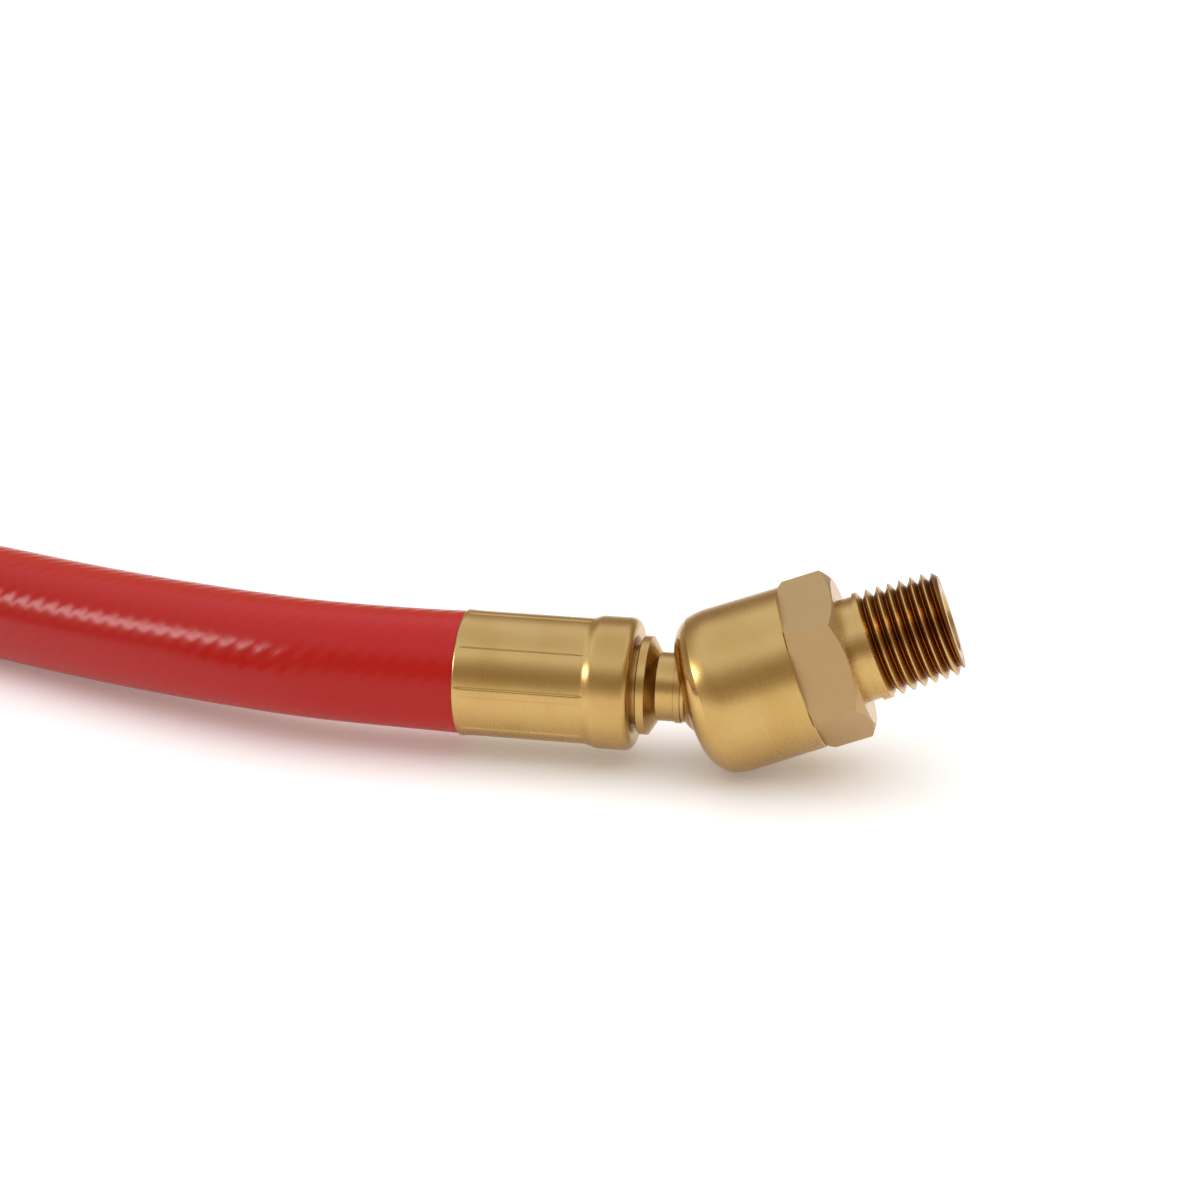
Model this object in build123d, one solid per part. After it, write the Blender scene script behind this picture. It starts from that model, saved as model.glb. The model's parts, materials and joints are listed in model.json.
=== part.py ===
"""Whip hose end with a brass ball swivel: 3/8 in bore hose, crimped ferrules, 1/4-18 NPT male ends.

Everything is laid out from the centre of the swivel ball. The stem runs along -X from the ball to
the hose, and the coupling side is made along +X and then swung to the angle that it rests at.
The whole model is moved at the end so that the origin is under the middle of the metal end.
"""
import os

from build123d import *
from math import asin, atan, atan2, cos, degrees, pi, radians, sin, sqrt, tan

# Resting angle of the swivel
BEND = 21.0                # between the stem's axis and the coupling's axis
BEND_ROLL = 18.2           # the bend's plane leans this far from upright, towards +Y
SWING_LIMIT = 22.0         # the neck meets the mouth just past this angle

# Hose: 3/8 in bore
HOSE_R = 7.65
HOSE_BORE_R = 4.75
HOSE_LENGTH = 610.0        # cut length, 24 in
GROUND_GAP = 0.05          # between the hose and the surface it lies on

# Pipe thread: 1/4-18 NPT
PITCH = 25.4 / 18
THREAD_END_R = 6.62        # crest radius at the small end
THREAD_DEPTH = 1.02
TAPER = 1 / 32             # change of radius per length
THREAD_TURNS = 7
THREAD_LEAD_IN = 0.75      # chamfer at the small end
FLOW_R = 3.5               # bore of the male ends
ROOT_HALF_WIDTH = 0.04     # flat at the root of the thread
CUT_OVER = 0.1             # how far the thread cut runs past the crests

# Ball stem: ball, neck, collar, locking groove and barbed tail, turned from one bar
BALL_R = 6.35
BALL_FACE = 5.2            # flat front face of the ball
STEM_BORE_R = 3.0
NECK_R = 4.35
RING_GROOVE = (-5.95, -5.05)
RING_GROOVE_R = 4.05
COLLAR = (-10.5, -9.35)
COLLAR_R = 6.25
COLLAR_CHAMFER = 0.15
CONE_FOOT = -8.15          # where the collar's cone reaches the neck
LOCK_GROOVE_R = 5.0
TAIL_ROOT_R = 4.55
TAIL_PLAIN = 1.5           # plain length before the first barb
TAIL_TIP = (0.8, 0.5)      # chamfer at the tail's tip: along and across
BARB_R = 5.0
BARB_LENGTH = 3.2
BARB_GAP = 0.3
BARBS = 5
TIP_INSIDE = 1.5           # the stem's bore starts this far inside the ferrule's rear
FACE_FLARE = (0.5, 0.4)    # the bore's chamfer at the ball's face: along and across
RING_GAP = 0.06            # between the stop ring and its groove
RING_PROUD = 0.16
RING_SPLIT = 0.7

# Crimped ferrule
FERRULE = (-33.4, -11.0)
FERRULE_R = 8.03
BAND = (-15.6, -12.4)      # the front band that the dies don't reach
BAND_R = 8.42
BAND_EDGE = 1.25           # rounding of the band's front edge
FLARE = 1.6                # length of the slope from the crimped part up to the band
FERRULE_WALL = 1.0
FLANGE = 0.85
FLANGE_GAP = 0.1
REAR_EDGE = 0.1
RIDGES = 8
RIDGE_PROUD = 0.1
RIDGE_WIDTH = 0.9
RIDGE_TURN = 41.0          # the first ridge's angle from the top
LINER_R = 5.7
BRAID_R = 6.2

# Socket cap, in the coupling's own frame
MOUTH_LIP = -4.3
SEAT_GAP = 0.08
NOSE_R = 4.2
NOSE_CENTRE = (-0.1, 6.3)
NOSE_EDGE = -1.75          # a fine edge where the burnished nose meets the turned side
CAP_R = 10.52
CAP_REAR_R = 10.42
CAP_REAR = 10.4
CAP_BORE_R = 8.4
CAP_STEP = 1.0

# Adapter: spigot, hexagon, relief and male thread
SPIGOT = 1.2
SPIGOT_R = 8.35
POCKET_R = 7.2
POCKET_FLOOR = 6.9
ORING_GROOVE = (8.5, 10.0)
ORING_GROOVE_R = 7.15
HEX_AF = 19.05             # 3/4 in across flats
HEX_FRONT = 17.0
HEX_FRONT_R = 9.35
HEX_CORNER_ANGLES = (49.0, 30.0)   # slope of the turned-off corners at the rear and the front
HEX_CLEAR = 0.2            # how far the turned outline clears the corners between its domes
HEX_TURN = 19.5            # how the hexagon's corners rest, from +Y
RELIEF_R = 6.62
RELIEF_END = 18.9
THREAD_END = 29.6

# Seat set, behind the ball
SEAT = (1.1, 4.1)
SEAT_R = 7.1
SEAT_BORE_R = 5.5
SEAT_RING_SECTION = 0.46
WASHER = (5.12, 5.82)
WASHER_BORE_R = 5.4
SPRING = (5.88, 6.84)
SPRING_R = 7.0
SPRING_THICK = 0.3
SPRING_WAVES = 3

# Far end: a rigid male end with its own ferrule, in its own frame along +X from the ferrule's rear
FAR_FERRULE = 22.4
FAR_HEX_AF = 14.29         # 9/16 in across flats
FAR_HEX = (23.3, 31.3)
FAR_HEX_EDGE_R = 7.2
FAR_RELIEF_R = 6.42
FAR_RELIEF_END = 32.8
FAR_THREAD_END = 43.5
FAR_COLLAR_R = 6.9

# The loop that the rest of the hose lies in, from the ball's centre
LOOP_CENTRE = (-205.0, -62.0)
LOOP_R = (94.0, 85.0)      # the loop closes in a little from its start to its end
LOOP_START, LOOP_END = 70.0, 329.0
LOOP_RISE = 0.2            # the last part of the loop, where the hose climbs to the far ferrule
LOOP_CORNERS = 11
FAR_TURN = 20.0
FAR_RUN = 32.0


def turned(points):
    """A solid turned about X from (along, radius) points."""
    return revolve(make_face(Polyline(*points, close=True)), axis=Axis.X)


def bar(start, end, r, bore=0.0):
    """A plain turned piece between two places along X, with an optional bore."""
    return turned([(start, bore), (start, r), (end, r), (end, bore)])


def swung(shape):
    """A piece of the coupling side, turned from the +X axis to its resting angle."""
    return shape.rotate(Axis((0, 0, 0), SWING_AXIS), BEND)


def sphere_zone(r, start, end):
    """A ball cut by two flat faces square to X."""
    return Sphere(r) & Pos((start + end) / 2, 0, 0) * Box(end - start, 3 * r, 3 * r)


def crest_r(along, thread_end):
    """Crest radius of the taper thread at a place along X."""
    return THREAD_END_R + (thread_end - along) * TAPER


def taper_thread(start, thread_end):
    """The male thread's solid: a tapered blank with one V groove cut along a helix, turn by turn."""
    tip = THREAD_END_R - THREAD_LEAD_IN
    chamfered = thread_end - THREAD_LEAD_IN
    blank = turned([
        (start, 0), (start, crest_r(start, thread_end)),
        (chamfered, crest_r(chamfered, thread_end)), (thread_end, tip), (thread_end, 0),
    ])
    half = (THREAD_DEPTH + CUT_OVER) * tan(radians(30)) + ROOT_HALF_WIDTH
    groove = make_face(Polyline(
        (0, -ROOT_HALF_WIDTH), (THREAD_DEPTH + CUT_OVER, -half),
        (THREAD_DEPTH + CUT_OVER, half), (0, ROOT_HALF_WIDTH), close=True,
    ))
    for turn in range(THREAD_TURNS + 1):
        at = thread_end - PITCH * (THREAD_TURNS + 0.25 - turn)
        path = Helix(
            pitch=PITCH, height=PITCH * 1.01, radius=crest_r(at, thread_end) - THREAD_DEPTH,
            center=(0, 0, at), cone_angle=-degrees(atan(TAPER)),
        )
        profile = Plane(origin=path @ 0, x_dir=(1, 0, 0), z_dir=(0, -1, 0)) * groove
        cut = sweep(profile, path=path, is_frenet=True)
        blank -= cut.rotate(Axis.Y, 90)
    return blank


def hexagon(start, end, across_flats, rear_r, front_r):
    """A hexagon bar along X; its corners are turned off at both ends to slightly domed faces."""
    corner = across_flats / sqrt(3)
    prism = Plane.YZ.offset(start) * extrude_hexagon(corner, end - start)
    rear_angle, front_angle = (radians(a) for a in HEX_CORNER_ANGLES)
    rear, front = rear_r / sin(rear_angle), front_r / sin(front_angle)
    wide = corner + HEX_CLEAR
    rear_at = start + rear * cos(rear_angle) - sqrt(rear**2 - wide**2)
    front_at = end - front * cos(front_angle) + sqrt(front**2 - wide**2)
    outline = [
        Polyline((end, front_r), (end, 0), (start, 0), (start, rear_r)),
        RadiusArc((start, rear_r), (rear_at, wide), rear),
        Line((rear_at, wide), (front_at, wide)),
        RadiusArc((front_at, wide), (end, front_r), front),
    ]
    return prism & revolve(make_face(outline), axis=Axis.X)


def extrude_hexagon(corner, length):
    """A hexagon prism standing on the XY plane."""
    return extrude(RegularPolygon(corner, 6), amount=length)


# ---- pieces on the stem's axis

def stem():
    """Ball, neck, collar and locking groove, with a barbed tail for the hose."""
    ball_back = -sqrt(BALL_R**2 - NECK_R**2)
    lock_end = FERRULE[1] - FLANGE - FLANGE_GAP
    body = turned([
        (lock_end, 0), (lock_end, LOCK_GROOVE_R), (COLLAR[0], LOCK_GROOVE_R),
        (COLLAR[0], COLLAR_R - COLLAR_CHAMFER), (COLLAR[0] + COLLAR_CHAMFER, COLLAR_R),
        (COLLAR[1], COLLAR_R),
        (CONE_FOOT, NECK_R), (RING_GROOVE[0], NECK_R), (RING_GROOVE[0], RING_GROOVE_R),
        (RING_GROOVE[1], RING_GROOVE_R), (RING_GROOVE[1], NECK_R), (ball_back + 0.5, NECK_R),
        (ball_back + 0.5, 0),
    ])
    return body + sphere_zone(BALL_R, -BALL_R, BALL_FACE) + tail(lock_end) - stem_bore()


def stem_bore():
    """The air passage through the stem, opened out at the ball's face."""
    along, across = FACE_FLARE
    flare_r = STEM_BORE_R + across
    return bar(FERRULE[0] + TIP_INSIDE, BALL_R, STEM_BORE_R) + turned([
        (BALL_FACE - along, 0), (BALL_FACE - along, STEM_BORE_R), (BALL_FACE, flare_r),
        (BALL_R, flare_r), (BALL_R, 0),
    ])


def tail(front):
    """The barbed tail: saw teeth that let the hose on and hold it."""
    points = [(front, 0), (front, TAIL_ROOT_R)]
    at = front - TAIL_PLAIN
    for _ in range(BARBS):
        points += [(at, TAIL_ROOT_R), (at, BARB_R), (at - BARB_LENGTH, TAIL_ROOT_R)]
        at -= BARB_LENGTH + BARB_GAP
    along, across = TAIL_TIP
    points += [(at, TAIL_ROOT_R), (at - along, TAIL_ROOT_R - across), (at - along, 0)]
    return turned(points)


def neck_ring():
    """The split stop ring in the groove of the neck."""
    rear, front = RING_GROOVE
    ring = bar(rear + RING_GAP, front - RING_GAP, NECK_R + RING_PROUD, RING_GROOVE_R + RING_GAP)
    split = Box(2 * (front - rear), NECK_R, RING_SPLIT)
    return ring - Pos((rear + front) / 2, NECK_R, 0) * split


def ferrule():
    """The crimped sleeve: die marks along it, a plain band in front and a flange in the groove."""
    rear, front = FERRULE
    inner = FERRULE_R - FERRULE_WALL
    edge_r = BAND_R - BAND_EDGE
    flange_r = LOCK_GROOVE_R + 0.05
    outline = Polyline(
        (rear, inner), (rear, FERRULE_R - REAR_EDGE), (rear + REAR_EDGE, FERRULE_R),
        (BAND[0] - FLARE, FERRULE_R), (BAND[0], BAND_R), (front - BAND_EDGE, BAND_R),
    )
    nose = RadiusArc((front - BAND_EDGE, BAND_R), (front, edge_r), BAND_EDGE)
    inside = Polyline(
        (front, edge_r), (front, flange_r), (front - FLANGE, flange_r), (front - FLANGE, inner),
        (rear, inner),
    )
    sleeve = revolve(make_face([outline, nose, inside]), axis=Axis.X)
    return sleeve + crimp_ridges(rear + 4 * REAR_EDGE, BAND[0] - FLARE)


def crimp_ridges(rear, front):
    """The metal left standing between the crimping dies."""
    shell = bar(rear, front, FERRULE_R + RIDGE_PROUD, FERRULE_R - FERRULE_WALL / 2)
    ridges = []
    for n in range(RIDGES):
        spoke = Pos((rear + front) / 2, 0, FERRULE_R) * Box(front - rear, RIDGE_WIDTH, FERRULE_WALL)
        ridges.append(shell & spoke.rotate(Axis.X, RIDGE_TURN + n * 360 / RIDGES))
    return ridges


def hose_end_layers(front):
    """Liner, braid and cover of the hose where the ferrule holds it, as three sleeves."""
    rear = FERRULE[0]
    inner = FERRULE_R - FERRULE_WALL
    liner = bar(rear, front, LINER_R, TAIL_ROOT_R) - tail(FERRULE[1] - FLANGE - FLANGE_GAP)
    braid = bar(rear, front, BRAID_R, LINER_R)
    cover = bar(rear, front, inner, BRAID_R)
    return liner, braid, cover


# ---- pieces on the coupling's axis

def mouth_radius(along):
    """Radius of the mouth's cone, which leaves the neck room to swing."""
    half_angle = radians(SWING_LIMIT + 0.5)
    return (NECK_R + 0.15 - along * sin(half_angle)) / cos(half_angle)


def socket_cap():
    """The domed cap that holds the ball: mouth cone, spherical seat and threaded bore."""
    socket = BALL_R + SEAT_GAP
    half_angle = radians(SWING_LIMIT + 0.5)
    seat_angle = half_angle + asin((NECK_R + 0.15) / socket)
    seat_edge = (-socket * cos(seat_angle), socket * sin(seat_angle))
    lip = (MOUTH_LIP, mouth_radius(MOUTH_LIP))
    cx, cr = NOSE_CENTRE
    edge = (NOSE_EDGE, cr + sqrt(NOSE_R**2 - (NOSE_EDGE - cx) ** 2))
    lip_out = (cx - sqrt(NOSE_R**2 - (lip[1] + 0.15 - cr) ** 2), lip[1] + 0.15)
    shoulder = (1.2, CAP_R)
    outline = [
        Polyline(seat_edge, lip, lip_out),
        RadiusArc(lip_out, edge, NOSE_R),
        RadiusArc(edge, shoulder, 9.0),
        Polyline(
            shoulder, (CAP_REAR - 0.15, CAP_REAR_R), (CAP_REAR, CAP_REAR_R - 0.15),
            (CAP_REAR, CAP_BORE_R), (CAP_STEP, CAP_BORE_R), (CAP_STEP, socket), (0, socket),
        ),
        RadiusArc((0, socket), seat_edge, -socket),
    ]
    return revolve(make_face(outline), axis=Axis.X)


def adapter():
    """Threaded spigot with the seat's pocket, wrench hexagon, relief and male pipe thread."""
    hex_bar = hexagon(CAP_REAR, HEX_FRONT, HEX_AF, CAP_REAR_R, HEX_FRONT_R)
    body = turned([
        (SPIGOT, 0), (SPIGOT, SPIGOT_R - 0.4), (SPIGOT + 0.4, SPIGOT_R),
        (ORING_GROOVE[0], SPIGOT_R), (ORING_GROOVE[0], ORING_GROOVE_R),
        (ORING_GROOVE[1], ORING_GROOVE_R), (ORING_GROOVE[1], SPIGOT_R),
        (CAP_REAR, SPIGOT_R), (CAP_REAR, 0),
    ])
    relief = bar(HEX_FRONT, RELIEF_END, RELIEF_R)
    solid = hex_bar.rotate(Axis.X, HEX_TURN) + body + relief
    solid += taper_thread(RELIEF_END, THREAD_END)
    passage = turned([
        (SPIGOT, 0), (SPIGOT, POCKET_R), (POCKET_FLOOR, POCKET_R), (POCKET_FLOOR, 5.0),
        (POCKET_FLOOR + 1.5, FLOW_R), (THREAD_END - 0.5, FLOW_R), (THREAD_END, FLOW_R + 0.5),
        (THREAD_END, 0),
    ])
    return solid - passage


def body_oring():
    """The static seal between the cap and the adapter."""
    section = (CAP_BORE_R - ORING_GROOVE_R) / 2 - 0.01
    middle = (sum(ORING_GROOVE) / 2, (CAP_BORE_R + ORING_GROOVE_R) / 2)
    return revolve(Pos(*middle) * Circle(section), axis=Axis.X)


def ball_seat():
    """The moulded ring that bears on the back of the ball."""
    bearing = BALL_R + SEAT_GAP
    wide = (SEAT[0], sqrt(bearing**2 - SEAT[0] ** 2))
    narrow = (sqrt(bearing**2 - SEAT_BORE_R**2), SEAT_BORE_R)
    outline = [
        Polyline(narrow, (SEAT[1], SEAT_BORE_R), (SEAT[1], SEAT_R), (SEAT[0], SEAT_R), wide),
        RadiusArc(wide, narrow, bearing),
    ]
    return revolve(make_face(outline), axis=Axis.X)


def seat_oring():
    """The ring that seals the seat in its pocket."""
    middle = (SEAT[1] + 0.5, SEAT_R - SEAT_RING_SECTION)
    return revolve(Pos(*middle) * Circle(SEAT_RING_SECTION), axis=Axis.X)


def backing_washer():
    """The washer that spreads the spring's load on the seat."""
    return bar(WASHER[0], WASHER[1], SEAT_R, WASHER_BORE_R)


def wave_spring():
    """The split flat wire spring behind the washer, in waves between its two end planes."""
    middle = (SPRING[0] + SPRING[1]) / 2
    swing = (SPRING[1] - SPRING[0] - SPRING_THICK) / 2
    wire_r = (SPRING_R + WASHER_BORE_R) / 2
    count = 8 * SPRING_WAVES
    points = []
    for n in range(count):
        turn = 2 * pi * n / count
        along = middle + swing * sin(SPRING_WAVES * turn)
        points.append((along, wire_r * cos(turn), wire_r * sin(turn)))
    path = Spline(*points)
    face = Plane(origin=path @ 0, x_dir=(0, 1, 0), z_dir=path % 0)
    return sweep(face * Rectangle(SPRING_R - WASHER_BORE_R, SPRING_THICK), path=path)


# ---- the far end, along +X from its ferrule's rear

def to_far_frame(shape):
    """A piece of the swivel's ferrule frame, moved to the far end's own frame."""
    return shape.translate((-FERRULE[0], 0, 0))


def at_far_end(shape, end, heading):
    """A far-end piece, moved from its own frame to the end of the hose."""
    return shape.rotate(Axis.Z, heading).translate(end)


def far_ferrule():
    """The same sleeve as the swivel's."""
    return to_far_frame(ferrule())


def far_fitting():
    """The rigid male end: barbed tail, collar, hexagon and taper thread."""
    groove = (FAR_FERRULE - FLANGE - FLANGE_GAP, FAR_FERRULE + 0.3)
    body = bar(groove[0], groove[1], LOCK_GROOVE_R)
    collar = bar(groove[1], FAR_HEX[0], FAR_COLLAR_R)
    hex_bar = hexagon(FAR_HEX[0], FAR_HEX[1], FAR_HEX_AF, FAR_HEX_EDGE_R, FAR_HEX_EDGE_R)
    relief = bar(FAR_HEX[1], FAR_RELIEF_END, FAR_RELIEF_R)
    barbs = to_far_frame(tail(FERRULE[1] - FLANGE - FLANGE_GAP))
    solid = body + collar + hex_bar + relief + barbs + taper_thread(FAR_RELIEF_END, FAR_THREAD_END)
    passage = bar(0, FAR_THREAD_END, STEM_BORE_R)
    mouth = turned([
        (FAR_THREAD_END - 0.6, 0), (FAR_THREAD_END - 0.6, STEM_BORE_R),
        (FAR_THREAD_END, STEM_BORE_R + 0.6), (FAR_THREAD_END, 0),
    ])
    return solid - passage - mouth


# ---- the hose's route

def hose_route(ball_height):
    """Corners of the hose's route from the swivel's ferrule to the far one, from the ball's centre."""
    low = HOSE_R + GROUND_GAP - ball_height
    far = BAND_R + GROUND_GAP - ball_height
    lead = [
        (FERRULE[0], 0, 0), (-48.4, 0, 0), (-63.1, 3.2, -0.5), (-85.8, 10.8, -1.6),
        (-110.8, 21, low), (-139.5, 28.5, low),
    ]
    loop = []
    for n in range(LOOP_CORNERS):
        part = n / (LOOP_CORNERS - 1)
        angle = radians(LOOP_START + (LOOP_END - LOOP_START) * part)
        r = LOOP_R[0] + (LOOP_R[1] - LOOP_R[0]) * part
        rise = max(0, part - 1 + LOOP_RISE) / LOOP_RISE
        loop.append((
            LOOP_CENTRE[0] + r * cos(angle), LOOP_CENTRE[1] + r * sin(angle),
            low + (far - low) * rise,
        ))
    (x0, y0, _), (x1, y1, _) = loop[-2:]
    heading = atan2(y1 - y0, x1 - x0) + radians(FAR_TURN)
    end = (x1 + FAR_RUN * cos(heading), y1 + FAR_RUN * sin(heading), far)
    return lead + loop + [end]


def arc_radii(route):
    """One radius for each corner, as large as its two runs allow."""
    corners = [Vector(*p) for p in route]
    radii = []
    for before, at, after in zip(corners, corners[1:], corners[2:]):
        run_in = at - before
        run_out = after - at
        turn = radians(run_in.get_angle(run_out))
        radii.append(0.45 * min(run_in.length, run_out.length) / tan(turn / 2))
    return radii


def hose_run(route):
    """The hose between its two ferrules, and its centreline's length."""
    radii = arc_radii(route)
    print("corner radii", [round(r) for r in radii])
    path = FilletPolyline(*route, radius=radii)
    start = Plane(origin=path @ 0, z_dir=path % 0)
    ring = Circle(HOSE_R) - Circle(HOSE_BORE_R)
    tube = sweep(start * ring, path=path)
    area = pi * (HOSE_R**2 - HOSE_BORE_R**2)
    print("hose length", round(path.length, 1), "tube volume over section times length",
          round(tube.volume / (area * path.length), 4))
    return tube, path.length


# ---- assembly

lean = radians(BEND_ROLL)
SWING_AXIS = (0, -cos(lean), sin(lean))

cap = swung(socket_cap())
ball_height = -cap.bounding_box().min.Z
liner, braid, cover = hose_end_layers(FERRULE[1] - FLANGE - 2 * FLANGE_GAP)

swivel_end = {
    "stem": stem(),
    "neck_ring": neck_ring(),
    "ferrule": ferrule(),
    "hose_end_liner": liner,
    "hose_end_braid": braid,
    "hose_end_cover": cover,
    "socket_cap": cap,
    "adapter": swung(adapter()),
    "body_oring": swung(body_oring()),
    "ball_seat": swung(ball_seat()),
    "seat_oring": swung(seat_oring()),
    "backing_washer": swung(backing_washer()),
    "wave_spring": swung(wave_spring()),
}

route = hose_route(ball_height)
tube, hose_free = hose_run(route)
last, end = Vector(*route[-2]), Vector(*route[-1])
heading = degrees(atan2(end.Y - last.Y, end.X - last.X))
far_end = {
    "far_ferrule": far_ferrule(),
    "far_fitting": far_fitting(),
    "far_end_liner": to_far_frame(liner),
    "far_end_braid": to_far_frame(braid),
    "far_end_cover": to_far_frame(cover),
}
hose = {"hose_run": tube}
for name, shape in far_end.items():
    hose[name] = at_far_end(shape, end, heading)

solids = [solid for shape in swivel_end.values() for solid in shape.solids()]
box = Compound(children=solids).bounding_box()
move = Vector(-(box.min.X + box.max.X) / 2, -(box.min.Y + box.max.Y) / 2, ball_height)
os.makedirs("parts", exist_ok=True)
for name, shape in {**swivel_end, **hose}.items():
    export_step(Compound(children=shape.translate(move).solids()), "parts/" + name + ".step")

print("ball centre", [round(v, 3) for v in move])
print("free hose", round(hose_free, 1), "in the ferrules", round(HOSE_LENGTH - hose_free, 1))
print("far end", [round(v, 2) for v in end + move], "heading", round(heading, 2))
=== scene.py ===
"""Whip hose with a ball swivel end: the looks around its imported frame.

Laid out as a Blender add-on and run as a script. Sizes are in metres, in the frame's own axes:
the stem runs along X and the coupling rests swung off it about the ball's centre.
"""

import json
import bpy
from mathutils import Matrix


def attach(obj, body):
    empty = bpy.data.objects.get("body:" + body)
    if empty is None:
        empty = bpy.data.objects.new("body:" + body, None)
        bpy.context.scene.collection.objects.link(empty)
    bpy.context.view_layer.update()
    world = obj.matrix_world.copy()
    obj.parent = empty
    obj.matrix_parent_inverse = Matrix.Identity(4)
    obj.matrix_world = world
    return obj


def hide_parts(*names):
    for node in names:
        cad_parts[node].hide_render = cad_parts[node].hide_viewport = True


bl_info = {
    "name": "Whip hose end",
    "version": (1, 0, 0),
    "blender": (4, 5, 0),
    "location": "3D View > Sidebar > Whip hose",
    "description": "Builds the hose, crimped sleeves and brass finishes of a ball swivel whip hose",
    "category": "Object",
}

import bpy
import numpy as np
from mathutils import Matrix, Vector

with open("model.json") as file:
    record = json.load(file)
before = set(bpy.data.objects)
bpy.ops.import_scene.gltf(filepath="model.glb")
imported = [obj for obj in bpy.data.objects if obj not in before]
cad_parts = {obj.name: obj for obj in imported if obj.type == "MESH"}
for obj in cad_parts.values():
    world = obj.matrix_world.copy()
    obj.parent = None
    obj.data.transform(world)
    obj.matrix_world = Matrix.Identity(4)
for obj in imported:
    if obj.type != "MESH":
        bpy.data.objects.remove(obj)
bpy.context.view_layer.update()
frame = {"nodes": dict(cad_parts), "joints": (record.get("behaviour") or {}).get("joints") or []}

MM = 0.001
JOINTS = {joint["name"]: joint for joint in frame["joints"]}
BALL = Vector(JOINTS["swing"]["pos_m"])
OUTLET_AXIS = Vector(JOINTS["coupling_spin"]["axis"])
STEM_AXIS = Vector((1, 0, 0))

# The hose's route, measured from the ball's centre
HOSE_R = 7.65 * MM
GROUND_GAP = 0.05 * MM
FERRULE_REAR = -33.4 * MM
BAND_R = 8.42 * MM
LOW = HOSE_R + GROUND_GAP - BALL.z
FAR_HEIGHT = BAND_R + GROUND_GAP - BALL.z
LEAD = [
    (FERRULE_REAR, 0, 0), (-48.4 * MM, 0, 0), (-63.1 * MM, 3.2 * MM, -0.5 * MM),
    (-85.8 * MM, 10.8 * MM, -1.6 * MM), (-110.8 * MM, 21 * MM, LOW), (-139.5 * MM, 28.5 * MM, LOW),
]
LOOP_CENTRE = (-205 * MM, -62 * MM)
LOOP_R = (94 * MM, 85 * MM)
LOOP_ANGLES = (70, 329)
LOOP_RISE = 0.2
LOOP_CORNERS = 11
FAR_TURN = 20
FAR_RUN = 32 * MM


def linear(code):
    """An sRGB hex colour as linear red, green and blue."""
    share = np.array([int(code[i:i + 2], 16) for i in (1, 3, 5)]) / 255
    value = np.where(share <= 0.04045, share / 12.92, ((share + 0.055) / 1.055) ** 2.4)
    return tuple(float(v) for v in value)


def hose_route():
    """Corners of the hose's route: the lead from the swivel, then the loop and the last run."""
    part = np.linspace(0, 1, LOOP_CORNERS)
    angle = np.radians(LOOP_ANGLES[0] + (LOOP_ANGLES[1] - LOOP_ANGLES[0]) * part)
    r = LOOP_R[0] + (LOOP_R[1] - LOOP_R[0]) * part
    rise = np.clip(part - 1 + LOOP_RISE, 0, None) / LOOP_RISE
    loop = np.column_stack([
        LOOP_CENTRE[0] + r * np.cos(angle), LOOP_CENTRE[1] + r * np.sin(angle),
        LOW + (FAR_HEIGHT - LOW) * rise,
    ])
    step = loop[-1] - loop[-2]
    heading = np.arctan2(step[1], step[0]) + np.radians(FAR_TURN)
    last = loop[-1, :2] + FAR_RUN * np.array([np.cos(heading), np.sin(heading)])
    route = np.vstack([LEAD, loop, [(*last, FAR_HEIGHT)]])
    return route + np.array(BALL)


ROUTE = hose_route()
FAR_END = Vector(ROUTE[-1])
FAR_AXIS = Vector((*(ROUTE[-1] - ROUTE[-2])[:2], 0)).normalized()


# ---- meshes

def grid_faces(rows, columns):
    """Quads of a grid whose columns close on themselves; each row is a ring."""
    row, column = np.meshgrid(np.arange(rows - 1), np.arange(columns), indexing="ij")
    following = (column + 1) % columns
    quads = np.stack([
        row * columns + column, row * columns + following,
        (row + 1) * columns + following, (row + 1) * columns + column,
    ], axis=-1)
    return quads.reshape(-1, 4)


def seam_faces(rows, columns):
    """Quads that join a grid's last ring to its first, so that its outline closes."""
    last, column = (rows - 1) * columns, np.arange(columns)
    following = (column + 1) % columns
    return np.column_stack([last + column, last + following, following, column])


def new_piece(name, points, quads, fans=(), sharp=30):
    """A mesh object from points, quads and fans (a ring of point numbers and its centre's)."""
    faces = quads.tolist()
    for ring, centre in fans:
        faces += np.column_stack([ring, np.roll(ring, -1), np.full(len(ring), centre)]).tolist()
    mesh = bpy.data.meshes.new(name)
    mesh.from_pydata(points.tolist(), [], faces)
    mesh.validate()
    mesh.shade_smooth()
    mesh.set_sharp_from_angle(angle=np.radians(sharp))
    piece = bpy.data.objects.new(name, mesh)
    bpy.context.scene.collection.objects.link(piece)
    return piece


def axis_frame(origin, axis):
    """A matrix that takes X to the axis and keeps Z as near upright as it can be."""
    side = Vector((0, 0, 1)).cross(axis).normalized()
    turn = Matrix((axis, side, axis.cross(side))).transposed()
    return Matrix.Translation(origin) @ turn.to_4x4()


COUPLING_PLACE = axis_frame(BALL, OUTLET_AXIS)
STEM_PLACE = axis_frame(BALL, STEM_AXIS)
SLEEVE_PLACE = axis_frame(BALL + Vector((FERRULE_REAR, 0, 0)), STEM_AXIS)
FAR_PLACE = axis_frame(FAR_END, FAR_AXIS)


# ---- materials

RING_ROUGHNESS = 0.08
POLISH_EDGE = 0.05 * MM
POLISHED_SHARE = 0.65
DRAWING_LINE = (6 * MM, 0.35 * MM, 0.35 * MM)
LINE_ROUGHNESS = 0.15
HEX_EDGE = 0.02 * MM
THREAD_CREST_R = 6.8 * MM
INNER_YARN_SHARE = 0.3
SKIN_GRAIN = 1.2 * MM
SKIN_SHARE = 0.25


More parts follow.
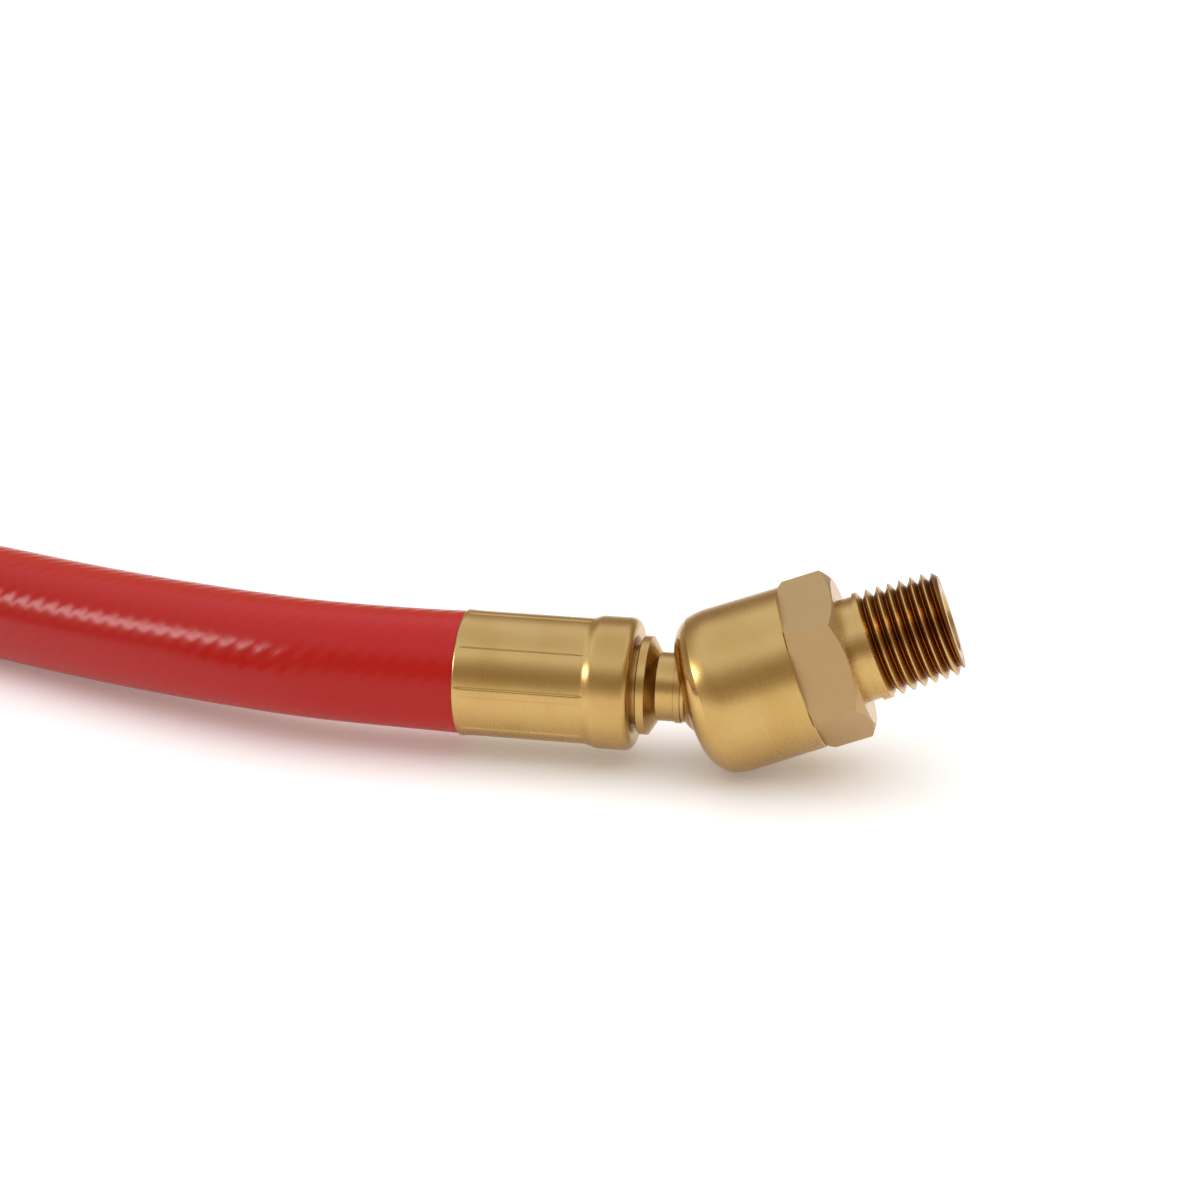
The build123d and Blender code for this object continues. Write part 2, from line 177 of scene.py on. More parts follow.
def node(tree, kind, inputs=None, **settings):
    """Adds a node with its settings; inputs maps a socket to a value or to another's output."""
    made = tree.nodes.new(kind)
    for name, value in settings.items():
        setattr(made, name, value)
    for name, value in (inputs or {}).items():
        if isinstance(value, bpy.types.NodeSocket):
            tree.links.new(value, made.inputs[name])
        else:
            made.inputs[name].default_value = value
    return made


def material(name, colour):
    """A new node material, its tree and its Principled shader, starting from one colour."""
    made = bpy.data.materials.new(name)
    made.use_nodes = True
    tree = made.node_tree
    shader = tree.nodes["Principled BSDF"]
    shader.inputs["Base Color"].default_value = (*colour, 1)
    return made, tree, shader


def own_place(tree, place):
    """The X, Y and Z sockets of a point in the piece's own frame, where X is its axis."""
    where = node(tree, "ShaderNodeTexCoord")
    centred = node(tree, "ShaderNodeMapping", {
        "Vector": where.outputs["Object"], "Location": place.translation,
        "Rotation": place.to_euler(),
    }, vector_type="TEXTURE")
    return node(tree, "ShaderNodeSeparateXYZ", {"Vector": centred.outputs["Vector"]}).outputs


def turned_brass(name, place, look, polished=None):
    """CZ121 free-cutting brass, turned: a satin shine with fine rings round the axis.

    The rings are one-dimensional noise along the axis, at a lathe's feed per turn, drawn a little
    coarser than the real 0.1 mm so that they show. Polished is a place along the axis: the
    burnished nose before it has no rings and a sharper shine.
    """
    made, tree, shader = material(name, look.colour)
    parts = own_place(tree, place)
    feeds = node(tree, "ShaderNodeMath", {0: parts["X"], 1: look.ring_pitch}, operation="DIVIDE")
    rings = node(tree, "ShaderNodeTexNoise", {
        "W": feeds.outputs[0], "Scale": 1.0, "Detail": 2.0,
    }, noise_dimensions="1D").outputs["Fac"]
    tarnish = node(tree, "ShaderNodeTexNoise", {
        "Vector": node(tree, "ShaderNodeTexCoord").outputs["Object"],
        "Scale": 1 / look.tarnish_size, "Detail": 3.0,
    })
    patches = node(tree, "ShaderNodeMapRange", {
        "Value": tarnish.outputs["Fac"], "From Min": 0.35, "From Max": 0.75, "To Max": 0.5,
    }, interpolation_type="SMOOTHSTEP")
    colour = node(tree, "ShaderNodeMix", {
        0: patches.outputs["Result"], 6: (*look.colour, 1), 7: (*look.tarnish, 1),
    }, data_type="RGBA")
    rough = node(tree, "ShaderNodeMath", {
        0: rings, 1: RING_ROUGHNESS, 2: look.roughness - RING_ROUGHNESS / 2,
    }, operation="MULTIPLY_ADD").outputs[0]
    strength = look.ring_strength
    if polished is not None:
        satin = node(tree, "ShaderNodeMapRange", {
            "Value": parts["X"],
            "From Min": polished - POLISH_EDGE, "From Max": polished + POLISH_EDGE,
        }, interpolation_type="SMOOTHSTEP").outputs["Result"]
        duller = node(tree, "ShaderNodeMapRange", {"Value": satin, "To Min": POLISHED_SHARE})
        rough = node(tree, "ShaderNodeMath", {
            0: rough, 1: duller.outputs["Result"]}, operation="MULTIPLY").outputs[0]
        strength = node(tree, "ShaderNodeMath", {
            0: satin, 1: look.ring_strength}, operation="MULTIPLY").outputs[0]
    bump = node(tree, "ShaderNodeBump", {
        "Height": rings, "Strength": strength, "Distance": 0.02 * MM})
    tree.links.new(colour.outputs[2], shader.inputs["Base Color"])
    tree.links.new(rough, shader.inputs["Roughness"])
    tree.links.new(bump.outputs["Normal"], shader.inputs["Normal"])
    shader.inputs["Metallic"].default_value = 1.0
    return made


def adapter_brass(name, place, look, hex_zone, thread_start):
    """CZ121 brass bar with its drawn flats left as they came, and a cut thread.

    The flats are matt, with fine drawing lines along the bar. The thread's flanks see each other
    and shade its roots, so painted shade turns the roots a deep golden brown and only the crests
    stay bright: depth below the crest darkens the colour.
    """
    made, tree, shader = material(name, look.colour)
    parts = own_place(tree, place)
    drawn = node(tree, "ShaderNodeMapping", {
        "Vector": node(tree, "ShaderNodeTexCoord").outputs["Object"],
        "Location": place.translation, "Rotation": place.to_euler(), "Scale": DRAWING_LINE,
    }, vector_type="TEXTURE")
    lines = node(tree, "ShaderNodeTexNoise", {
        "Vector": drawn.outputs["Vector"], "Scale": 1.0, "Detail": 3.0,
    }).outputs["Fac"]
    after_shoulder = node(tree, "ShaderNodeMapRange", {
        "Value": parts["X"], "From Min": hex_zone[0], "From Max": hex_zone[0] + HEX_EDGE,
    }, interpolation_type="SMOOTHSTEP")
    before_face = node(tree, "ShaderNodeMapRange", {
        "Value": parts["X"], "From Min": hex_zone[1] - HEX_EDGE, "From Max": hex_zone[1],
        "To Min": 1.0, "To Max": 0.0,
    }, interpolation_type="SMOOTHSTEP")
    in_hex = node(tree, "ShaderNodeMath", {
        0: after_shoulder.outputs["Result"], 1: before_face.outputs["Result"],
    }, operation="MULTIPLY").outputs[0]
    radial = node(tree, "ShaderNodeCombineXYZ", {"Y": parts["Y"], "Z": parts["Z"]})
    across = node(tree, "ShaderNodeVectorMath", {
        0: radial.outputs["Vector"]}, operation="LENGTH").outputs["Value"]
    # Painted shade in the thread: the deeper a point lies below the crest, the more of the dark
    # root colour it takes
    depth = node(tree, "ShaderNodeMath", {0: THREAD_CREST_R, 1: across}, operation="SUBTRACT")
    below_crest = node(tree, "ShaderNodeMapRange", {
        "Value": depth.outputs[0], "From Min": 0.1 * MM, "From Max": 0.75 * MM,
    }, interpolation_type="SMOOTHSTEP")
    past_start = node(tree, "ShaderNodeMapRange", {
        "Value": parts["X"], "From Min": thread_start, "From Max": thread_start + 0.6 * MM,
    }, interpolation_type="SMOOTHSTEP")
    off_bore = node(tree, "ShaderNodeMapRange", {
        "Value": across, "From Min": 4.6 * MM, "From Max": 5 * MM,
    }, interpolation_type="SMOOTHSTEP")
    threaded = node(tree, "ShaderNodeMath", {
        0: past_start.outputs["Result"], 1: off_bore.outputs["Result"]}, operation="MULTIPLY")
    shaded_root = node(tree, "ShaderNodeMath", {
        0: below_crest.outputs["Result"], 1: threaded.outputs[0]}, operation="MULTIPLY")
    metal = node(tree, "ShaderNodeMix", {
        0: in_hex, 6: (*look.colour, 1), 7: (*look.flat_colour, 1)}, data_type="RGBA")
    colour = node(tree, "ShaderNodeMix", {
        0: shaded_root.outputs[0], 6: metal.outputs[2], 7: (*look.root_shade_colour, 1)}, data_type="RGBA")
    even = node(tree, "ShaderNodeMapRange", {
        "Value": in_hex, "To Min": look.roughness, "To Max": look.flat_roughness})
    rough = node(tree, "ShaderNodeMath", {
        0: lines, 1: LINE_ROUGHNESS, 2: -LINE_ROUGHNESS / 2}, operation="MULTIPLY_ADD")
    rough = node(tree, "ShaderNodeMath", {
        0: rough.outputs[0], 1: even.outputs["Result"]}, operation="ADD")
    bump = node(tree, "ShaderNodeBump", {
        "Height": lines, "Strength": 0.35, "Distance": 0.03 * MM})
    tree.links.new(colour.outputs[2], shader.inputs["Base Color"])
    tree.links.new(rough.outputs[0], shader.inputs["Roughness"])
    tree.links.new(bump.outputs["Normal"], shader.inputs["Normal"])
    shader.inputs["Metallic"].default_value = 1.0
    return made


def braided_pvc(name, look):
    """Glossy plasticised PVC over a braid: the yarns under the cover stand up in slanting lines.

    Two families of yarns wind round the hose in opposite senses; the outer family shows most.
    UV counts turns along and round, so a yarn is a band where turns times yarns is whole.
    """
    made, tree, shader = material(name, look.colour)
    where = node(tree, "ShaderNodeUVMap", uv_map="turns")
    parts = node(tree, "ShaderNodeSeparateXYZ", {"Vector": where.outputs["UV"]}).outputs
    along = node(tree, "ShaderNodeMath", {
        0: parts["X"], 1: look.yarns * look.yarn_slope}, operation="MULTIPLY")
    around = node(tree, "ShaderNodeMath", {
        0: parts["Y"], 1: float(look.yarns)}, operation="MULTIPLY")
    height = 0.0
    for sense, share in (("ADD", 1.0), ("SUBTRACT", INNER_YARN_SHARE)):
        wound = node(tree, "ShaderNodeMath", {
            0: around.outputs[0], 1: along.outputs[0]}, operation=sense)
        across = node(tree, "ShaderNodeMath", {
            0: wound.outputs[0], 1: 0.5}, operation="PINGPONG")
        yarn = node(tree, "ShaderNodeMapRange", {
            "Value": across.outputs[0], "From Min": 0.05, "From Max": 0.45, "To Max": share,
        }, interpolation_type="SMOOTHSTEP")
        height = node(tree, "ShaderNodeMath", {
            0: yarn.outputs["Result"], 1: height}, operation="ADD").outputs[0]
    skin = node(tree, "ShaderNodeTexNoise", {
        "Vector": node(tree, "ShaderNodeTexCoord").outputs["Object"],
        "Scale": 1 / SKIN_GRAIN, "Detail": 2.0,
    })
    faint = node(tree, "ShaderNodeMath", {
        0: skin.outputs["Fac"], 1: SKIN_SHARE}, operation="MULTIPLY").outputs[0]
    height = node(tree, "ShaderNodeMath", {0: height, 1: faint}, operation="ADD").outputs[0]
    bump = node(tree, "ShaderNodeBump", {
        "Height": height, "Strength": look.yarn_strength, "Distance": 0.05 * MM})
    colour = node(tree, "ShaderNodeMix", {
        0: faint, 6: (*look.colour, 1), 7: (*look.deep_colour, 1)}, data_type="RGBA")
    tree.links.new(colour.outputs[2], shader.inputs["Base Color"])
    tree.links.new(bump.outputs["Normal"], shader.inputs["Normal"])
    shader.inputs["Roughness"].default_value = look.roughness
    shader.inputs["IOR"].default_value = 1.45
    shader.inputs["Specular IOR Level"].default_value = 0.3
    return made


def plain_grain(name, colour, deep, roughness, grain, metallic=0.0):
    """A moulded or drawn surface seen only inside the joint: an even colour with a fine grain."""
    made, tree, shader = material(name, colour)
    fleck = node(tree, "ShaderNodeTexNoise", {
        "Vector": node(tree, "ShaderNodeTexCoord").outputs["Object"],
        "Scale": 1 / grain, "Detail": 3.0,
    }).outputs["Fac"]
    shade = node(tree, "ShaderNodeMix", {
        0: fleck, 6: (*colour, 1), 7: (*deep, 1)}, data_type="RGBA")
    bump = node(tree, "ShaderNodeBump", {"Height": fleck, "Strength": 0.3, "Distance": 0.02 * MM})
    tree.links.new(shade.outputs[2], shader.inputs["Base Color"])
    tree.links.new(bump.outputs["Normal"], shader.inputs["Normal"])
    shader.inputs["Roughness"].default_value = roughness
    shader.inputs["Metallic"].default_value = metallic
    return made


def finish_node(name, finish):
    """Gives a CAD node one material."""
    mesh = frame["nodes"][name].data
    mesh.materials.clear()
    mesh.materials.append(finish)


# ---- shapes

RIDGES = 8
RIDGE_TURN = np.radians(41)
SECTOR = 2 * np.pi / RIDGES
CRIMP_R = 8 * MM
RIDGE_HALF = 0.64 * MM
RIDGE_EDGE = 0.18 * MM
RIDGE_HEIGHT = 0.1 * MM
DIE_HOLLOW = 0.05 * MM
SWELL_REACH = 7 * MM


def sleeve_angles():
    """Angles round the crimped sleeve: close together at each ridge, wider between them."""
    near = np.array([0.3, 0.48, 0.54, 0.6, 0.66, 0.8]) * MM / CRIMP_R
    near = np.concatenate([-near[::-1], [0], near])
    between = np.linspace(near[-1], SECTOR + near[0], 12)[1:-1]
    one = np.concatenate([near, between])
    return (RIDGE_TURN + one[None, :] + SECTOR * np.arange(RIDGES)[:, None]).ravel()


def crimped_sleeve(name, place):
    """A grid of place along the closed outline by angle round the axis.

    The radius is the outline's, plus a flat-topped ridge where the angle is within half a ridge of
    a gap between dies, faded out at the lip and at the flare, less a shallow hollow in mid die.
    """
    flare = np.linspace(0, 1, 9)
    bend = np.linspace(0, np.pi / 2, 8)
    straight = np.append(np.linspace(2.4, 14.4, 9), [15.2, 15.8])
    outline = np.vstack([
        # The rolled lip beside the hose
        [(0, 7.03), (0, 7.75), (0.03, 7.97), (0.12, 8.06), (0.3, 8.1), (0.6, 8.08), (1, 8.05),
         (1.6, 8.04)],
        np.column_stack([straight, np.full(len(straight), 8.03)]),
        # The flare up to the band, the band, and its rounded end
        np.column_stack([16.2 + 1.6 * flare, 8.03 + 0.39 * flare**2 * (3 - 2 * flare)]),
        [(19, 8.42), (20.4, 8.42)],
        np.column_stack([21.15 + 1.25 * np.sin(bend), 7.17 + 1.25 * np.cos(bend)]),
        # The end face, the flange's bore, and the bore round the hose
        [(22.4, 6.6), (22.4, 5.05), (21.55, 5.05), (21.55, 7.03), (12, 7.03)],
    ]) * MM
    along, radius = outline.T
    angles = sleeve_angles()
    off = np.abs((angles - RIDGE_TURN + SECTOR / 2) % SECTOR - SECTOR / 2)
    strip = np.clip((RIDGE_HALF - off * CRIMP_R) / RIDGE_EDGE, 0, 1)
    strip = strip**2 * (3 - 2 * strip)
    hollow = np.sin(np.pi * off / SECTOR) ** 2
    fade = np.clip((along - 0.2 * MM) / MM, 0, 1) * np.clip((16.9 * MM - along) / (1.2 * MM), 0, 1)
    fade *= radius > 7.9 * MM
    r = radius[:, None] + fade[:, None] * (RIDGE_HEIGHT * strip - DIE_HOLLOW * hollow)
    local = np.stack([
        np.repeat(along[:, None], len(angles), 1), -r * np.sin(angles), r * np.cos(angles)], -1)
    points = local.reshape(-1, 3) @ np.array(place.to_3x3()).T + np.array(place.translation)
    rows, columns = r.shape
    quads = np.vstack([grid_faces(rows, columns), seam_faces(rows, columns)])
    return new_piece(name, points, quads, sharp=40)


def hose_spline():
    """The hose's centreline: a NURBS curve whose control points are the route's corners."""
    curve = bpy.data.curves.new("hose_line", "CURVE")
    curve.dimensions = "3D"
    spline = curve.splines.new("NURBS")
    spline.points.add(len(ROUTE) - 1)
    for point, place in zip(spline.points, ROUTE):
        point.co = (*place, 1)
    spline.order_u = 3
    spline.use_endpoint_u = True
    spline.resolution_u = 20
    line = bpy.data.objects.new("hose_line", curve)
    bpy.context.scene.collection.objects.link(line)
    flat = bpy.data.meshes.new_from_object(line)
    path = np.zeros(len(flat.vertices) * 3)
    flat.vertices.foreach_get("co", path)
    bpy.data.objects.remove(line)
    bpy.data.curves.remove(curve)
    bpy.data.meshes.remove(flat)
    return path.reshape(-1, 3)


def hose_tube(name, path, radius, swell, columns=72):
    """A ring of points round each point of the path, level side first, with a disc at each end.

    The radius grows by swell towards each sleeve, falling away exponentially.
    """
    ahead = np.gradient(path, axis=0)
    ahead /= np.linalg.norm(ahead, axis=1)[:, None]
    side = np.cross((0.0, 0.0, 1.0), ahead)
    side /= np.linalg.norm(side, axis=1)[:, None]
    up = np.cross(ahead, side)
    run = np.concatenate([[0], np.cumsum(np.linalg.norm(np.diff(path, axis=0), axis=1))])
    r = radius + swell * (np.exp(-run / SWELL_REACH) + np.exp((run - run[-1]) / SWELL_REACH))
    turn = np.linspace(0, 2 * np.pi, columns, endpoint=False)
    ring = side[:, None] * np.cos(turn)[None, :, None] + up[:, None] * np.sin(turn)[None, :, None]
    points = (path[:, None] + r[:, None, None] * ring).reshape(-1, 3)
    points = np.vstack([points, path[0], path[-1]])
    rows = len(path)
    first, last = np.arange(columns), (rows - 1) * columns + np.arange(columns)
    tube = new_piece(name, points, grid_faces(rows, columns),
                     [(first[::-1], rows * columns), (last, rows * columns + 1)], sharp=50)
    lay_turns(tube, run / (2 * np.pi * radius), rows, columns)
    return tube


def lay_turns(tube, along, rows, columns):
    """A UV map in turns: along the hose in circumferences, and round it."""
    uv = tube.data.uv_layers.new(name="turns")
    corner = np.zeros(len(tube.data.loops), np.int32)
    tube.data.loops.foreach_get("vertex_index", corner)
    corner = np.minimum(corner, rows * columns - 1)
    row, column = corner // columns, corner % columns
    wrapped = np.zeros(len(corner), bool)
    quads = (rows - 1) * columns * 4
    four = column[:quads].reshape(-1, 4)
    wrapped[:quads] = ((four == 0) & (four.max(1) == columns - 1)[:, None]).ravel()
    values = np.column_stack([along[row], (column + wrapped * columns) / columns])
    uv.data.foreach_set("uv", values.astype(np.float32).ravel())


# ---- what a user would change

class BrassLook(bpy.types.PropertyGroup):
    """Colours and finish of the brass."""
    colour: bpy.props.FloatVectorProperty(
        name="Brass", description="Colour of clean turned brass", subtype="COLOR", size=3,
        default=linear("#c6a468"))
    tarnish: bpy.props.FloatVectorProperty(
        name="Tarnish", description="Colour of slightly tarnished brass", subtype="COLOR", size=3,
        default=linear("#b89254"))
    flat_colour: bpy.props.FloatVectorProperty(
        name="Drawn flats", description="Colour of the hexagon's flats", subtype="COLOR", size=3,
        default=linear("#c4a577"))
    # Painted shade: the darker colour that the thread's roots take where their flanks shade them
    root_shade_colour: bpy.props.FloatVectorProperty(
        name="Thread roots", description="Colour down in the thread", subtype="COLOR", size=3,
        default=linear("#8a561a"))
    roughness: bpy.props.FloatProperty(
        name="Roughness", description="Roughness of turned faces", default=0.27, min=0, max=1,
        subtype="FACTOR")
    flat_roughness: bpy.props.FloatProperty(
        name="Flat roughness", description="Roughness of drawn flats", default=0.5, min=0, max=1,
        subtype="FACTOR")
    ring_pitch: bpy.props.FloatProperty(
        name="Ring spacing", description="Spacing of the turning rings", default=0.18 * MM,
        unit="LENGTH", precision=6)
    ring_strength: bpy.props.FloatProperty(
        name="Ring strength", description="How deep the rings look", default=0.25, min=0, max=1)
    tarnish_size: bpy.props.FloatProperty(
        name="Tarnish size", description="Size of the tarnished patches", default=6 * MM,
        unit="LENGTH")


class HoseLook(bpy.types.PropertyGroup):
    """Sizes and colours of the hose."""
    colour: bpy.props.FloatVectorProperty(
        name="Cover", description="Colour of the PVC cover", subtype="COLOR", size=3,
        default=linear("#b41911"))
    deep_colour: bpy.props.FloatVectorProperty(
        name="Cover, deeper", description="Colour where the cover is thicker",
        subtype="COLOR", size=3, default=linear("#9e130d"))
    radius: bpy.props.FloatProperty(
        name="Radius", description="Outside radius of the hose", default=HOSE_R, unit="LENGTH",
        precision=5)
    swell: bpy.props.FloatProperty(
        name="Swell", description="How far the cover stands up beside a sleeve", default=0.2 * MM,
        unit="LENGTH", precision=5)
    yarns: bpy.props.IntProperty(
        name="Yarns", description="Yarns in each family of the braid", default=16, min=4)
    yarn_slope: bpy.props.FloatProperty(
        name="Yarn slope", description="Turns that a yarn makes in one circumference of length",
        default=1.19)
    yarn_strength: bpy.props.FloatProperty(
        name="Yarn strength", description="How far the braid shows", default=0.6, min=0, max=1)
    roughness: bpy.props.FloatProperty(
        name="Roughness", description="Roughness of the cover", default=0.24, min=0, max=1,
        subtype="FACTOR")


class StageLook(bpy.types.PropertyGroup):
    """The pale floor, the soft light and the camera."""
    floor: bpy.props.FloatVectorProperty(
        name="Floor", description="Colour of the floor", subtype="COLOR", size=3,
        default=linear("#f6f4f2"))
    floor_glow: bpy.props.FloatProperty(
        name="Floor glow", description="How much the floor glows, which keeps its shadows soft",
        default=0.2, min=0, max=1)
    overhead: bpy.props.FloatProperty(
        name="Overhead", description="Power of the wide panel overhead", default=21.0, unit="POWER")
    window: bpy.props.FloatProperty(
        name="Window", description="Power of the window on the left", default=4.5, unit="POWER")
    distance: bpy.props.FloatProperty(
        name="Camera distance", description="From the camera to what it looks at", default=0.343,
        unit="LENGTH")
    lens: bpy.props.FloatProperty(
        name="Lens", description="Focal length of the camera in millimetres", default=81.7,
        unit="CAMERA")


# ---- operators

FLOOR_REACH = 12.0
# Height of a direction, and the colour that comes from there: dim and warm near the horizon
SURROUNDINGS = (
    (0.0, (0.8, 0.74, 0.68)), (0.12, (0.56, 0.48, 0.38)), (0.34, (0.38, 0.3, 0.2)),
    (0.55, (0.5, 0.42, 0.32)), (0.66, (0.8, 0.8, 0.8)), (0.78, (1.12, 1.18, 1.3)),
    (1.0, (0.86, 0.87, 0.9)),
)
CAMERA_AZIMUTH, CAMERA_ELEVATION = np.radians(10.73), np.radians(20.77)
CAMERA_AIM = BALL + Vector((-16.32, 2.17, 10.21)) * MM


class WHIPHOSE_OT_stage(bpy.types.Operator):
    """Pale floor, soft overhead light, gentle surroundings and the camera"""
    bl_idname = "whiphose.stage"
    bl_label = "Stage"

    def execute(self, context):
        look = context.scene.whiphose_stage
        self.floor(look)
        self.surroundings()
        self.lamps(look)
        self.camera(look)
        return {"FINISHED"}

    def floor(self, look):
        """A wide plane just under the part."""
        corners = np.array([[-1, -1, 0], [1, -1, 0], [1, 1, 0], [-1, 1, 0]]) * FLOOR_REACH
        floor = new_piece("floor", corners, np.array([[0, 1, 2, 3]]))
        finish, _, shader = material("studio_floor", look.floor)
        shader.inputs["Roughness"].default_value = 0.55
        shader.inputs["Emission Color"].default_value = (*look.floor, 1)
        shader.inputs["Emission Strength"].default_value = look.floor_glow
        floor.data.materials.append(finish)

    def surroundings(self):
        """The colour of each direction, by its height."""
        world = bpy.data.worlds.new("studio")
        world.use_nodes = True
        tree = world.node_tree
        where = node(tree, "ShaderNodeTexCoord")
        parts = node(tree, "ShaderNodeSeparateXYZ", {"Vector": where.outputs["Generated"]})
        ramp = node(tree, "ShaderNodeValToRGB", {"Fac": parts.outputs["Z"]})
        points = ramp.color_ramp.elements
        while len(points) < len(SURROUNDINGS):
            points.new(0.5)
        for point, (place, colour) in zip(points, SURROUNDINGS):
            point.position = place
            point.color = (*colour, 1)
        background = tree.nodes["Background"]
        tree.links.new(ramp.outputs["Color"], background.inputs["Color"])
        bpy.context.scene.world = world

    def lamps(self, look):
        """A wide panel overhead that only lights, and a window on the left that only shines."""
        self.area_light(
            "overhead", Vector((0.45, 0.2, 1.6)), (2.6, 2.6), look.overhead, shines=False)
        self.area_light(
            "window", Vector((-1.04, -0.5, 0.52)), (0.5, 0.24), look.window, shines=True)

    def area_light(self, name, offset, size, power, shines):
        """A rectangular area light at an offset from the ball, turned to it."""
        light = bpy.data.lights.new(name, "AREA")
        light.shape = "RECTANGLE"
        light.size, light.size_y = size
        light.energy = power
        box = bpy.data.objects.new(name, light)
        box.location = BALL + offset
        box.rotation_euler = (-offset).to_track_quat("-Z", "Y").to_euler()
        box.visible_glossy = shines
        box.visible_diffuse = not shines
        bpy.context.scene.collection.objects.link(box)

    def camera(self, look):
        """The camera looks down at the swivel, from in front and a little towards +X."""
        level = np.cos(CAMERA_ELEVATION)
        back = Vector((
            np.sin(CAMERA_AZIMUTH) * level, -np.cos(CAMERA_AZIMUTH) * level,
            np.sin(CAMERA_ELEVATION)))
        data = bpy.data.cameras.new("camera")
        data.lens, data.sensor_width = look.lens, 36
        data.clip_start = 0.01
        camera = bpy.data.objects.new("camera", data)
        camera.location = CAMERA_AIM + back * look.distance
        camera.rotation_euler = (-back).to_track_quat("-Z", "Y").to_euler()
        bpy.context.scene.collection.objects.link(camera)
        bpy.context.scene.camera = camera


class WHIPHOSE_OT_ferrules(bpy.types.Operator):
    """The two crimped brass sleeves"""
    bl_idname = "whiphose.ferrules"
    bl_label = "Crimped sleeves"

    def execute(self, context):
        look = context.scene.whiphose_brass
        for node_name, place in (("ferrule", SLEEVE_PLACE), ("far_ferrule", FAR_PLACE)):
            sleeve = crimped_sleeve("crimped_" + node_name, place)
            sleeve.data.materials.append(turned_brass("crimped_brass_" + node_name, place, look))
            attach(sleeve, "hose")
            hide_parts(node_name)
        return {"FINISHED"}


class WHIPHOSE_OT_hose(bpy.types.Operator):
    """The red hose, from the swivel's sleeve round its loop to the far sleeve"""
    bl_idname = "whiphose.hose"
    bl_label = "Hose"

    def execute(self, context):
        look = context.scene.whiphose_hose
        path = hose_spline()
        hose = hose_tube("hose", path, look.radius, look.swell)
        hose.data.materials.append(braided_pvc("glossy_red_pvc", look))
        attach(hose, "hose")
        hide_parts("hose_run")
        return {"FINISHED"}


class WHIPHOSE_OT_swivel(bpy.types.Operator):
    """Brass finishes of the ball stem, its stop ring, the cap and the washer"""
    bl_idname = "whiphose.swivel"
    bl_label = "Swivel brass"

    def execute(self, context):
        look = context.scene.whiphose_brass
        stem = turned_brass("turned_brass_stem", STEM_PLACE, look)
        cap = turned_brass("turned_brass_cap", COUPLING_PLACE, look, polished=-1.75 * MM)
        finish_node("stem", stem)
        finish_node("neck_ring", stem)
        finish_node("socket_cap", cap)
        finish_node("backing_washer", cap)
        return {"FINISHED"}


class WHIPHOSE_OT_male_ends(bpy.types.Operator):
    """Brass finishes of the adapter and of the far male end"""
    bl_idname = "whiphose.male_ends"
    bl_label = "Male ends"

    def execute(self, context):
        look = context.scene.whiphose_brass
        finish_node("adapter", adapter_brass(
            "hexagon_brass", COUPLING_PLACE, look, (10.4 * MM, 17 * MM), 18.6 * MM))
        finish_node("far_fitting", adapter_brass(
            "far_hexagon_brass", FAR_PLACE, look, (23.3 * MM, 31.3 * MM), 32.4 * MM))
        return {"FINISHED"}


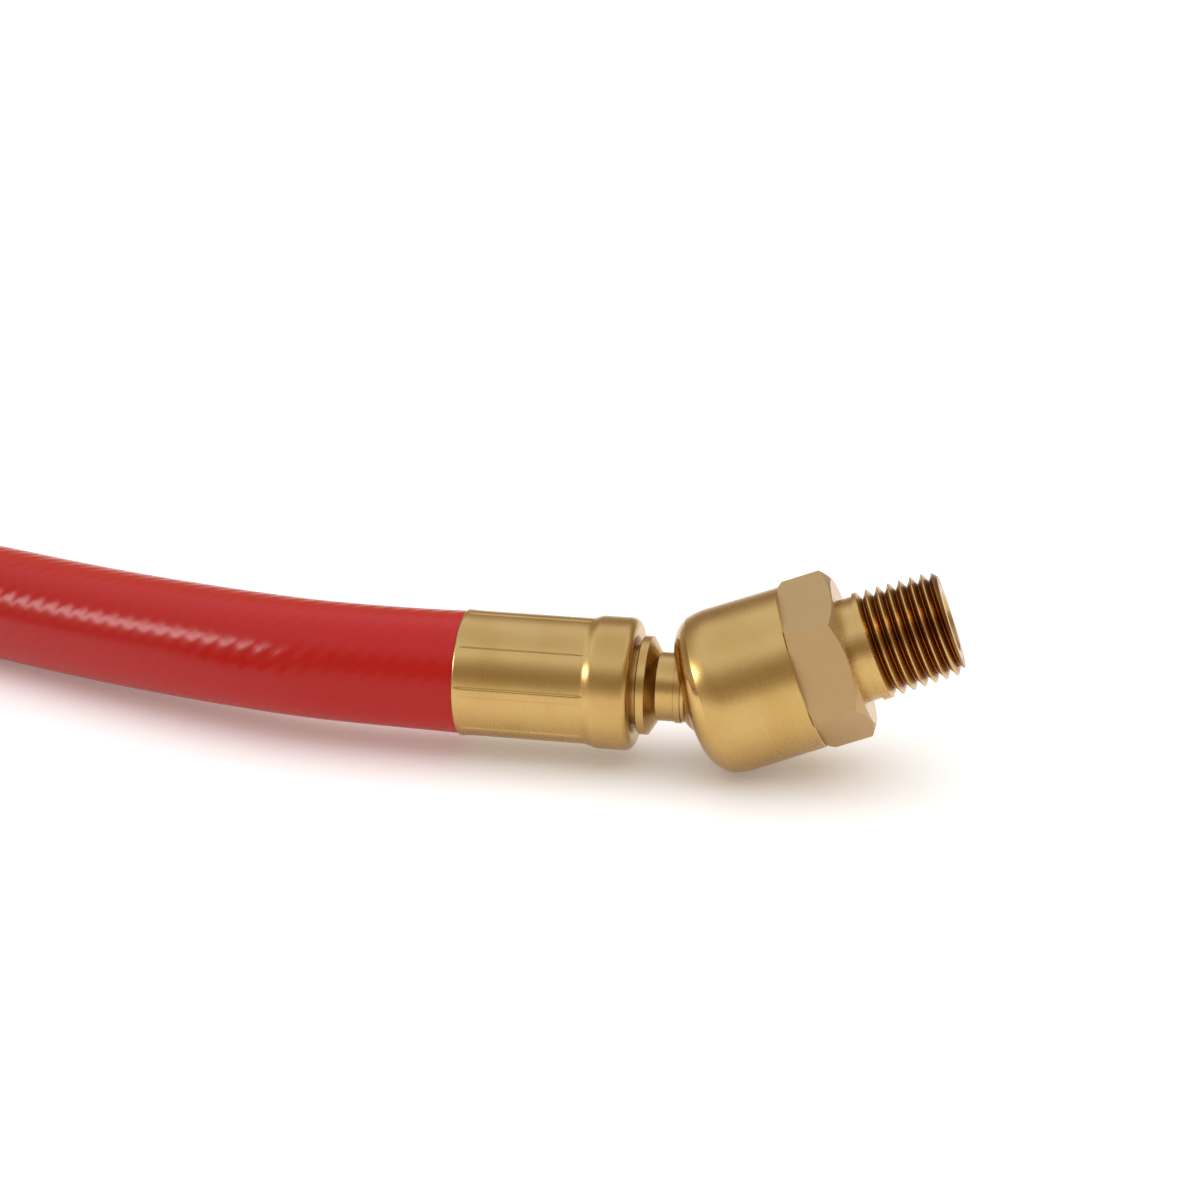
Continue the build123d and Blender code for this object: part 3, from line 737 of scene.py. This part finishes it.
class WHIPHOSE_OT_inside(bpy.types.Operator):
    """Finishes of the hose's layers, the seals, the seat and the spring"""
    bl_idname = "whiphose.inside"
    bl_label = "Inner pieces"

    def execute(self, context):
        finishes = {
            # Extruded black PVC: dull, with a soft grain
            ("hose_end_liner", "far_end_liner"): plain_grain(
                "extruded_liner_pvc", linear("#1d1d1f"), linear("#101011"), 0.6, 0.5 * MM),
            # Polyester braid: off-white yarn, rough
            ("hose_end_braid", "far_end_braid"): plain_grain(
                "polyester_braid", linear("#dedcd2"), linear("#b9b6aa"), 0.85, 0.4 * MM),
            # Extruded red PVC, the hose's own cover inside the sleeve
            ("hose_end_cover", "far_end_cover"): plain_grain(
                "extruded_red_pvc", linear("#c4251a"), linear("#a81c14"), 0.35, 1 * MM),
            # Nitrile rubber: near black and matt
            ("body_oring", "seat_oring"): plain_grain(
                "nitrile_rubber", linear("#17181a"), linear("#0c0c0d"), 0.55, 0.2 * MM),
            # Turned PTFE: white and waxy
            ("ball_seat",): plain_grain(
                "turned_ptfe", linear("#eeeeea"), linear("#dcdcd6"), 0.4, 0.3 * MM),
            # Rolled spring steel: grey, softly bright
            ("wave_spring",): plain_grain(
                "rolled_spring_steel", linear("#b4b6b8"), linear("#8f9194"), 0.3, 0.2 * MM,
                metallic=1.0),
        }
        for names, finish in finishes.items():
            for name in names:
                finish_node(name, finish)
        return {"FINISHED"}


OPERATORS = (
    WHIPHOSE_OT_stage, WHIPHOSE_OT_ferrules, WHIPHOSE_OT_hose, WHIPHOSE_OT_swivel,
    WHIPHOSE_OT_male_ends, WHIPHOSE_OT_inside,
)
LOOKS = {"whiphose_stage": StageLook, "whiphose_brass": BrassLook, "whiphose_hose": HoseLook}


class WHIPHOSE_PT_panel(bpy.types.Panel):
    """The whip hose's looks and the steps that build it"""
    bl_label = "Whip hose"
    bl_space_type = "VIEW_3D"
    bl_region_type = "UI"
    bl_category = "Whip hose"

    def draw(self, context):
        for operator in OPERATORS:
            self.layout.operator(operator.bl_idname)
        for name, look in LOOKS.items():
            box = self.layout.box()
            for prop in look.__annotations__:
                box.prop(getattr(context.scene, name), prop)


def register():
    """Registers the classes and gives the scene its groups of properties."""
    for look in LOOKS.values():
        bpy.utils.register_class(look)
    for name, look in LOOKS.items():
        setattr(bpy.types.Scene, name, bpy.props.PointerProperty(type=look))
    for operator in OPERATORS:
        bpy.utils.register_class(operator)
    bpy.utils.register_class(WHIPHOSE_PT_panel)


def unregister():
    """Takes the classes and the groups away again."""
    bpy.utils.unregister_class(WHIPHOSE_PT_panel)
    for operator in reversed(OPERATORS):
        bpy.utils.unregister_class(operator)
    for name in LOOKS:
        delattr(bpy.types.Scene, name)
    for look in LOOKS.values():
        bpy.utils.unregister_class(look)


def main():
    """Builds everything in order."""
    register()
    bpy.context.scene.view_settings.view_transform = "Standard"
    bpy.ops.whiphose.stage()
    bpy.ops.whiphose.ferrules()
    bpy.ops.whiphose.hose()
    bpy.ops.whiphose.swivel()
    bpy.ops.whiphose.male_ends()
    bpy.ops.whiphose.inside()


if __name__ == "__main__":
    main()
